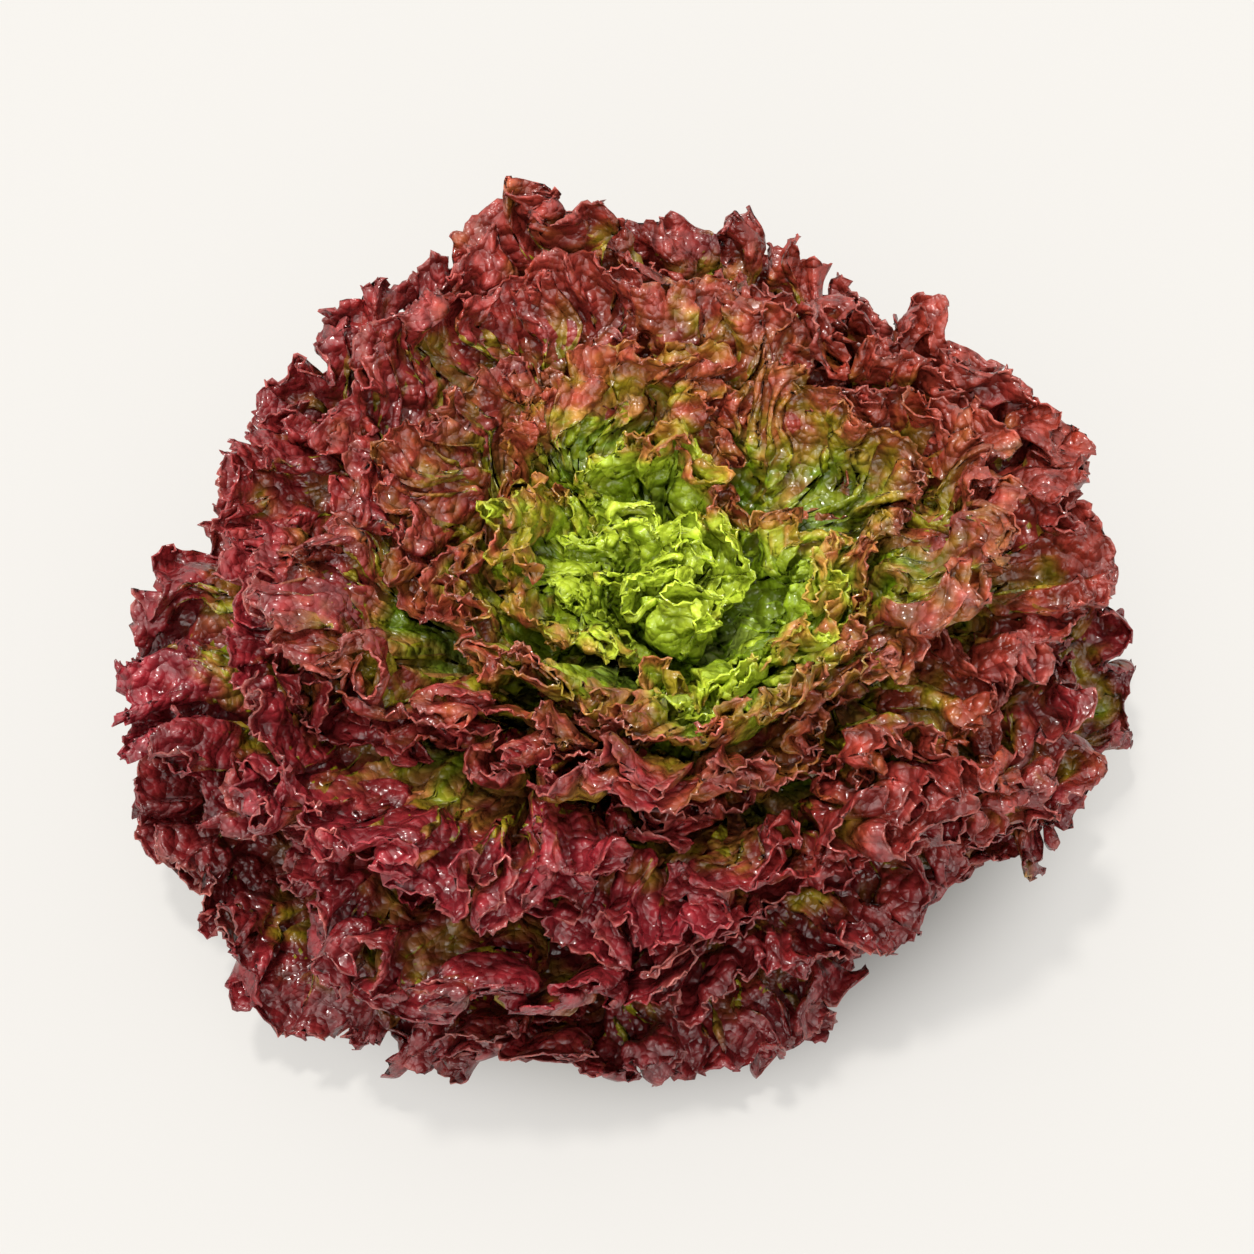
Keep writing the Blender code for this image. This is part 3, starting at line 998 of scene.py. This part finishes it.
    def mesh(self, finish: "LeafFinish") -> bpy.types.Object:
        """Closed mesh of the leaf with its colour attribute.

        Args:
            finish: gives the colours and which side is the upper face.

        Returns:
            The leaf's object.
        """
        self.detail()
        rows = self.rows()
        counts = [len(places) for _, places in rows]
        starts = [0, *np.cumsum(counts).tolist()]
        total = starts.pop()
        at = (
            np.concatenate([np.full_like(places, row) for row, places in rows]),
            np.concatenate([places for _, places in rows]),
        )
        thick = 0.5 * self.thickness + 0.5 * self.leaf.rib * self.rib[at]
        shallow = 0.5 * self.thickness
        upper = self.points[at] + self.square[at] * shallow * finish.face
        lower = self.points[at] - self.square[at] * (2.0 * thick - shallow)[:, None] * finish.face
        faces = []
        for k in range(len(rows) - 1):
            faces += self.strip(starts[k], counts[k], starts[k + 1], counts[k + 1])
        under = [tuple(total + v for v in reversed(face)) for face in faces]
        walls = self.walls(starts, counts, total)
        mesh = bpy.data.meshes.new(self.name + "_frilled")
        mesh.from_pydata(np.concatenate([upper, lower]).tolist(), [], faces + under + walls)
        colours = finish.colours(self, at)
        attribute = mesh.color_attributes.new("tint", "FLOAT_COLOR", "POINT")
        attribute.data.foreach_set("color", colours.astype(np.float32).ravel())
        mesh.shade_smooth()
        rounded = np.ones(len(mesh.polygons), dtype=bool)
        rounded[-len(walls) :] = False
        mesh.polygons.foreach_set("use_smooth", rounded)
        mesh.update()
        made = bpy.data.objects.new(self.name + "_frilled", mesh)
        bpy.context.collection.objects.link(made)
        return made


def fill(node: bpy.types.Node, inputs: dict) -> None:
    """Links a node's inputs to sockets, or sets them to values.

    Args:
        node: the node.
        inputs: for each input's name or number, a socket or a value.
    """
    for name, value in inputs.items():
        if isinstance(value, bpy.types.NodeSocket):
            node.id_data.links.new(value, node.inputs[name])
        else:
            node.inputs[name].default_value = value


def add_node(tree: bpy.types.NodeTree, kind: str, inputs: dict) -> bpy.types.Node:
    """New node with its inputs linked or set.

    Args:
        tree: where the node goes.
        kind: its type, without the leading ShaderNode.
        inputs: what fill() puts on it.

    Returns:
        The node.
    """
    made = tree.nodes.new("ShaderNode" + kind)
    fill(made, inputs)
    return made


def ranged(source: bpy.types.NodeSocket, old: tuple, new: tuple) -> bpy.types.NodeSocket:
    """Socket that turns one range of another socket's values into a new one."""
    inputs = {"Value": source, "From Min": old[0], "From Max": old[1], "To Min": new[0], "To Max": new[1]}
    return add_node(source.id_data, "MapRange", inputs).outputs["Result"]


@dataclass
class LeafFinish:
    """Colour of the leaves: lime at the heart and the bases, then olive, bronze, red and wine.

    Sizes, widths and reaches are in centimetres.
    """

    zone: Zone
    lime: Array = field(default_factory=lambda: linear(204, 226, 62))
    leaf_green: Array = field(default_factory=lambda: linear(124, 160, 12))
    olive: Array = field(default_factory=lambda: linear(164, 138, 28))
    bronze: Array = field(default_factory=lambda: linear(208, 132, 72))
    red: Array = field(default_factory=lambda: linear(166, 60, 44))
    wine: Array = field(default_factory=lambda: linear(164, 36, 52))
    maroon: Array = field(default_factory=lambda: linear(124, 24, 32))
    pink: Array = field(default_factory=lambda: linear(220, 132, 116))
    rib: Array = field(default_factory=lambda: linear(196, 204, 120))
    face: float = -1.0
    front: float = -0.95
    front_shift: float = 0.17
    aging_layers: tuple = (0.07, 0.36)
    # Direction of the sunny side, which gets a browner hue and is painted lighter.
    sunny_way: tuple = (0.065, 0.048, 0.0)
    patch_size: float = 1.6
    speck_size: float = 0.5
    region_size: float = 6.5
    edge_widths: tuple = (0.9, 2.6)
    blush_reach: float = 0.8
    lime_reach: float = 1.5
    red_shares: tuple = (0.35, 0.75)
    brown_at: float = 0.52
    brown_width: float = 0.24
    # Painted shade deeper in from the margin: the darkest share, and how far in it sets, for young and for
    # old leaves.
    painted_shade_shares: tuple = (0.42, 0.26)
    painted_shade_reaches: tuple = (1.3, 1.0)
    rim_reach: float = 0.045
    most_pink: float = 0.40
    mottle_shades: tuple = (0.74, 1.26)
    # Painted light and shade on the blisters: colour factor on the raised tops and in the sunken creases.
    crease_painted_shade_and_light: tuple = (1.20, 0.62)
    heart_crease_painted_shade_and_light: tuple = (1.20, 0.85)
    gloss: tuple = (0.22, 0.44)
    specular: float = 0.6
    coat: float = 0.32
    heart_coat: float = 0.12
    coat_roughness: float = 0.13

    def __post_init__(self) -> None:
        """Makes the zone's material."""
        self.material = self.make_material()

    def colours(self, blade: Blade, at: tuple) -> Array:
        """Colours of the upper and the lower face's points.

        Args:
            blade: the leaf that is dressed.
            at: rows and columns of the points that the mesh keeps.

        Returns:
            Four numbers for each point, the upper face's first.
        """
        layer = blade.leaf.layer
        depth = blade.depth[at]
        inset = blade.inset[at]
        points = blade.points[at] * 100.0
        shift = 1.9 * blade.leaf.index
        patch = NOISE.rough(points, self.patch_size, shift)
        speck = NOISE.rough(points, self.speck_size, shift + 4.0)
        region = NOISE.at(points, self.region_size, 11.0)
        front = np.clip(np.cos(np.arctan2(points[:, 1], points[:, 0]) - self.front), 0.0, 1.0) ** 1.5
        near = layer + 0.04 - self.front_shift * front
        age = smooth(*self.aging_layers, near)
        # sunny is +1 on one side of the head and -1 on the other: it turns that side's hue from wine towards
        # brick, and further down paints it lighter.
        sunny = np.clip(points @ np.array(self.sunny_way), -1.0, 1.0)
        edge = np.exp(-inset / (self.edge_widths[0] + self.edge_widths[1] * age))
        red = age * (0.30 + 0.50 * edge) + 0.42 * edge * smooth(0.03, 0.20, near) - 0.06
        blush = 0.60 * abs(math.sin(2.3 * blade.leaf.index)) * float(smooth(0.04, 0.12, layer))
        red = red + blush * np.exp(-inset / self.blush_reach)
        red = np.clip(red + 0.36 * patch + 0.26 * speck + 0.24 * region - 0.10 * sunny - 0.02, 0.0, 1.0)
        red = np.minimum(red, 0.54 + 1.0 * np.maximum(near, 0.0) + 0.12 * speck)
        red = red * smooth(0.10, 0.55, depth + 0.25 * age)
        green = np.clip(1.15 * np.exp(-inset / self.lime_reach) + 0.25 * speck - 0.25 * age, 0.0, 1.0)
        shade = mix(self.leaf_green, self.lime, green)
        deep = np.clip(0.25 + 0.9 * age * smooth(0.45, 1.0, layer) + 0.4 * patch, 0.0, 1.0)
        purple = np.clip(0.35 - 0.75 * sunny + 0.4 * region, 0.0, 1.0)
        wine = mix(mix(self.red, self.wine, purple), self.maroon, deep)
        colour = mix(shade, wine, smooth(*self.red_shares, red))
        brown = mix(self.olive, self.bronze, np.clip(0.5 + speck, 0.0, 1.0))
        middle = np.exp(-(((red - self.brown_at) / self.brown_width) ** 2))
        colour = mix(colour, brown, 0.85 * middle)
        # Painted shade: the colour darkens deeper in from the margin, down to 42 % of its brightness on
        # young leaves and 68 % on old ones.
        darkest_painted_shade = self.painted_shade_shares[0] + self.painted_shade_shares[1] * age
        fading = np.exp(-inset / (self.painted_shade_reaches[0] + self.painted_shade_reaches[1] * age))
        painted_shade = darkest_painted_shade + (1.0 - darkest_painted_shade) * fading
        # Painted light: the sunny side is painted up to 5 % lighter.
        colour = colour * (painted_shade * (1.0 + 0.05 * sunny))[:, None]
        # A thin pink line along the margin: partly the leaf's own edge colour, partly a painted highlight of
        # the thin lit edge.
        rim = np.exp(-inset / self.rim_reach) * smooth(0.10, 0.35, layer)
        rim = rim * np.clip(0.10 + 0.30 * patch + 0.35 * speck, 0.0, self.most_pink)
        colour = mix(colour, self.pink, rim)
        colour = mix(colour, self.rib, blade.rib[at] * 0.9)
        dull = mix(self.olive, shade, 0.35 + 0.65 * (1.0 - age))
        below = mix(colour, dull, 0.85 * smooth(0.25, 1.8, inset))
        both = np.concatenate([colour, below])
        return np.concatenate([both, np.ones((len(both), 1))], axis=-1)

    def make_material(self) -> bpy.types.Material:
        """Material that reads the tint and adds mottling, painted shade in the blister creases with painted
        light on the blister tops, blisters and gloss.
        """
        heart = self.zone is Zone.HEART
        material = bpy.data.materials.new(self.zone.value[0] + "_skin")
        material.use_nodes = True
        tree = material.node_tree
        place = add_node(tree, "TexCoord", {}).outputs["Object"]
        tint = add_node(tree, "Attribute", {})
        tint.attribute_name = "tint"
        mottle = add_node(tree, "TexNoise", {"Vector": place, "Scale": 260.0, "Detail": 2.0}).outputs["Fac"]
        quilt = add_node(tree, "TexVoronoi", {"Vector": place, "Scale": 185.0}).outputs["Distance"]
        pebbles = add_node(tree, "TexVoronoi", {"Vector": place, "Scale": 430.0}).outputs["Distance"]
        # Random mottling times painted shade in the sunken creases and painted light on the raised blister
        # tops.
        both = add_node(
            tree,
            "Math",
            {
                0: ranged(mottle, (0.3, 0.7), self.mottle_shades),
                1: ranged(quilt, (0.15, 0.75), self.heart_crease_painted_shade_and_light if heart else self.crease_painted_shade_and_light),
            },
        )
        both.operation = "MULTIPLY"
        tinted = add_node(tree, "VectorMath", {0: tint.outputs["Color"]})
        tinted.operation = "SCALE"
        fill(tinted, {"Scale": both.outputs["Value"]})
        normal = None
        for height, strength, distance, sunk in (
            (quilt, 1.0, 0.0026, True),
            (pebbles, 0.8, 0.0010, True),
            (mottle, 0.3, 0.0004, False),
        ):
            bump = add_node(tree, "Bump", {"Height": height, "Strength": strength, "Distance": distance})
            bump.invert = sunk
            if normal is not None:
                fill(bump, {"Normal": normal})
            normal = bump.outputs["Normal"]
        shader = tree.nodes["Principled BSDF"]
        fill(
            shader,
            {
                "Base Color": tinted.outputs["Vector"],
                "Roughness": ranged(mottle, (0.35, 0.65), self.gloss),
                "Normal": normal,
                "Coat Normal": normal,
            },
        )
        shader.inputs["Specular IOR Level"].default_value = self.specular
        shader.inputs["Coat Weight"].default_value = self.heart_coat if heart else self.coat
        shader.inputs["Coat Roughness"].default_value = self.coat_roughness
        return material


@dataclass
class CutStem:
    """The short stem, pale with a browned, mottled cut face."""

    name: str = "cut_stem"
    pale: Array = field(default_factory=lambda: linear(214, 210, 158))
    browned: Array = field(default_factory=lambda: linear(160, 128, 74))

    def dress(self) -> None:
        """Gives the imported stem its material."""
        material = bpy.data.materials.new("stem_flesh")
        material.use_nodes = True
        tree = material.node_tree
        place = add_node(tree, "TexCoord", {}).outputs["Object"]
        mottle = add_node(tree, "TexNoise", {"Vector": place, "Scale": 180.0, "Detail": 5.0}).outputs["Fac"]
        ramp = add_node(tree, "ValToRGB", {"Fac": mottle})
        for stop, position, colour in zip(ramp.color_ramp.elements, (0.30, 0.62), (self.browned, self.pale)):
            stop.position = position
            stop.color = (*colour, 1.0)
        bump = add_node(tree, "Bump", {"Height": mottle, "Strength": 0.4, "Distance": 0.0006})
        shader = tree.nodes["Principled BSDF"]
        fill(shader, {"Base Color": ramp.outputs["Color"], "Normal": bump.outputs["Normal"]})
        shader.inputs["Roughness"].default_value = 0.5
        node = bpy.data.objects[self.name]
        node.data.materials.clear()
        node.data.materials.append(material)


@dataclass
class Studio:
    """Camera at the photograph's angle, pale lit table top and soft light."""

    elevation: float = 55.0
    distance: float = 0.825
    aim: tuple = (-0.003, 0.000, 0.040)
    lens: float = 85.0
    sky_low: float = 0.58
    sky_high: float = 0.84
    sky_from: tuple = (-0.24, 0.22, 1.1)
    # Painted shadow round the head: the table's glow is nil within the first radius and full beyond the
    # second.
    painted_shadow_radius: float = 0.080
    painted_shadow_end_radius: float = 0.140
    table_glow: float = 0.60
    table_half: float = 3.0
    table_shade: float = 0.25
    suns: tuple = (
        ("crisp", 1.95, 7.0, (-0.20, 0.12, 1.1)),
        ("soft", 0.30, 50.0, (-0.30, 0.25, 1.1)),
        ("front", 1.25, 60.0, (-0.10, -0.85, 0.75)),
    )

    def camera(self) -> None:
        """Places the camera."""
        data = bpy.data.cameras.new("view")
        data.lens = self.lens
        data.clip_start = 0.01
        made = bpy.data.objects.new("view", data)
        bpy.context.collection.objects.link(made)
        rise = math.radians(self.elevation)
        back = Vector((0.0, -math.cos(rise), math.sin(rise)))
        made.location = Vector(self.aim) + back * self.distance
        made.rotation_euler = (-back).to_track_quat("-Z", "Y").to_euler()
        bpy.context.scene.camera = made

    def floor(self) -> None:
        """Lays the pale table top, which glows evenly away from the head; towards the head the glow fades
        out, a painted shadow added to the shadow it takes near it.
        """
        mesh = bpy.data.meshes.new("floor")
        half = self.table_half
        corners = [(-half, -half, 0), (half, -half, 0), (half, half, 0), (-half, half, 0)]
        mesh.from_pydata(corners, [], [(0, 1, 2, 3)])
        material = bpy.data.materials.new("floor_paper")
        material.use_nodes = True
        tree = material.node_tree
        shader = tree.nodes["Principled BSDF"]
        shader.inputs["Base Color"].default_value = (*(self.table_shade * linear(240, 237, 232)), 1.0)
        shader.inputs["Emission Color"].default_value = (*linear(248, 246, 242), 1.0)
        shader.inputs["Roughness"].default_value = 0.9
        shader.inputs["Specular IOR Level"].default_value = 0.1
        away = add_node(tree, "VectorMath", {0: add_node(tree, "TexCoord", {}).outputs["Object"]})
        away.operation = "LENGTH"
        # The glow fades to nothing towards the head: a painted shadow round it.
        glow_outside_painted_shadow = ranged(away.outputs["Value"], (self.painted_shadow_radius, self.painted_shadow_end_radius), (0.0, self.table_glow))
        glow_outside_painted_shadow.node.interpolation_type = "SMOOTHSTEP"
        fill(shader, {"Emission Strength": glow_outside_painted_shadow})
        mesh.materials.append(material)
        made = bpy.data.objects.new("floor", mesh)
        bpy.context.collection.objects.link(made)
        made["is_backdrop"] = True

    def sun(self, name: str, strength: float, angle: float, place: tuple) -> None:
        """Hangs a light far off.

        Args:
            name: the light's name.
            strength: its power for each square metre.
            angle: how wide it looks, in degrees.
            place: where it shines from.
        """
        data = bpy.data.lights.new(name, "SUN")
        data.energy = strength
        data.angle = math.radians(angle)
        data.color = (1.0, 0.975, 0.94)
        made = bpy.data.objects.new(name, data)
        bpy.context.collection.objects.link(made)
        made.location = place
        made.rotation_euler = (-Vector(place)).to_track_quat("-Z", "Y").to_euler()

    def light(self) -> None:
        """Sets the sky's brightness and the lights."""
        world = bpy.data.worlds.new("studio")
        bpy.context.scene.world = world
        world.use_nodes = True
        tree = world.node_tree
        facing = add_node(tree, "VectorMath", {0: add_node(tree, "TexCoord", {}).outputs["Generated"]})
        facing.operation = "DOT_PRODUCT"
        fill(facing, {1: Vector(self.sky_from).normalized()})
        glow = ranged(facing.outputs["Value"], (-0.3, 1.0), (self.sky_low, self.sky_high))
        glow.node.interpolation_type = "SMOOTHSTEP"
        fill(tree.nodes["Background"], {"Strength": glow, "Color": (1.0, 0.99, 0.975, 1.0)})
        for name, strength, angle, place in self.suns:
            self.sun(name, strength, angle, place)
        bpy.context.scene.view_settings.view_transform = "Standard"


def main() -> None:
    """Builds and dresses the head, then sets the studio."""
    logging.basicConfig(level=logging.INFO, format="%(message)s")
    solid_box = [list(corner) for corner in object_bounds()]
    head = Head()
    leaves = [Leaf(head, index) for index in range(head.leaf_count)]
    growth = Growth()
    crumple = Crumple()
    limits = Limits(*[np.array(corner) for corner in solid_box])
    grown = {leaf.index: growth.grow(leaf, leaves) for leaf in reversed(leaves)}
    index = 0
    for zone in Zone:
        name, count = zone.value
        finish = LeafFinish(zone)
        for number in range(1, count + 1):
            leaf = leaves[index]
            node = f"{name}_{number:02d}"
            grown[index]["points"] = crumple.apply(grown[index]["points"])
            blade = Blade(leaf, grown[index], limits, node)
            made = blade.mesh(finish)
            made.data.materials.append(finish.material)
            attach(made, "root")
            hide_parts(node)
            made.data.calc_loop_triangles()
            LOG.info("%s: %d faces", made.name, len(made.data.polygons))
            index += 1
    CutStem().dress()
    studio = Studio()
    studio.camera()
    studio.floor()
    studio.light()


if __name__ == "__main__":
    main()
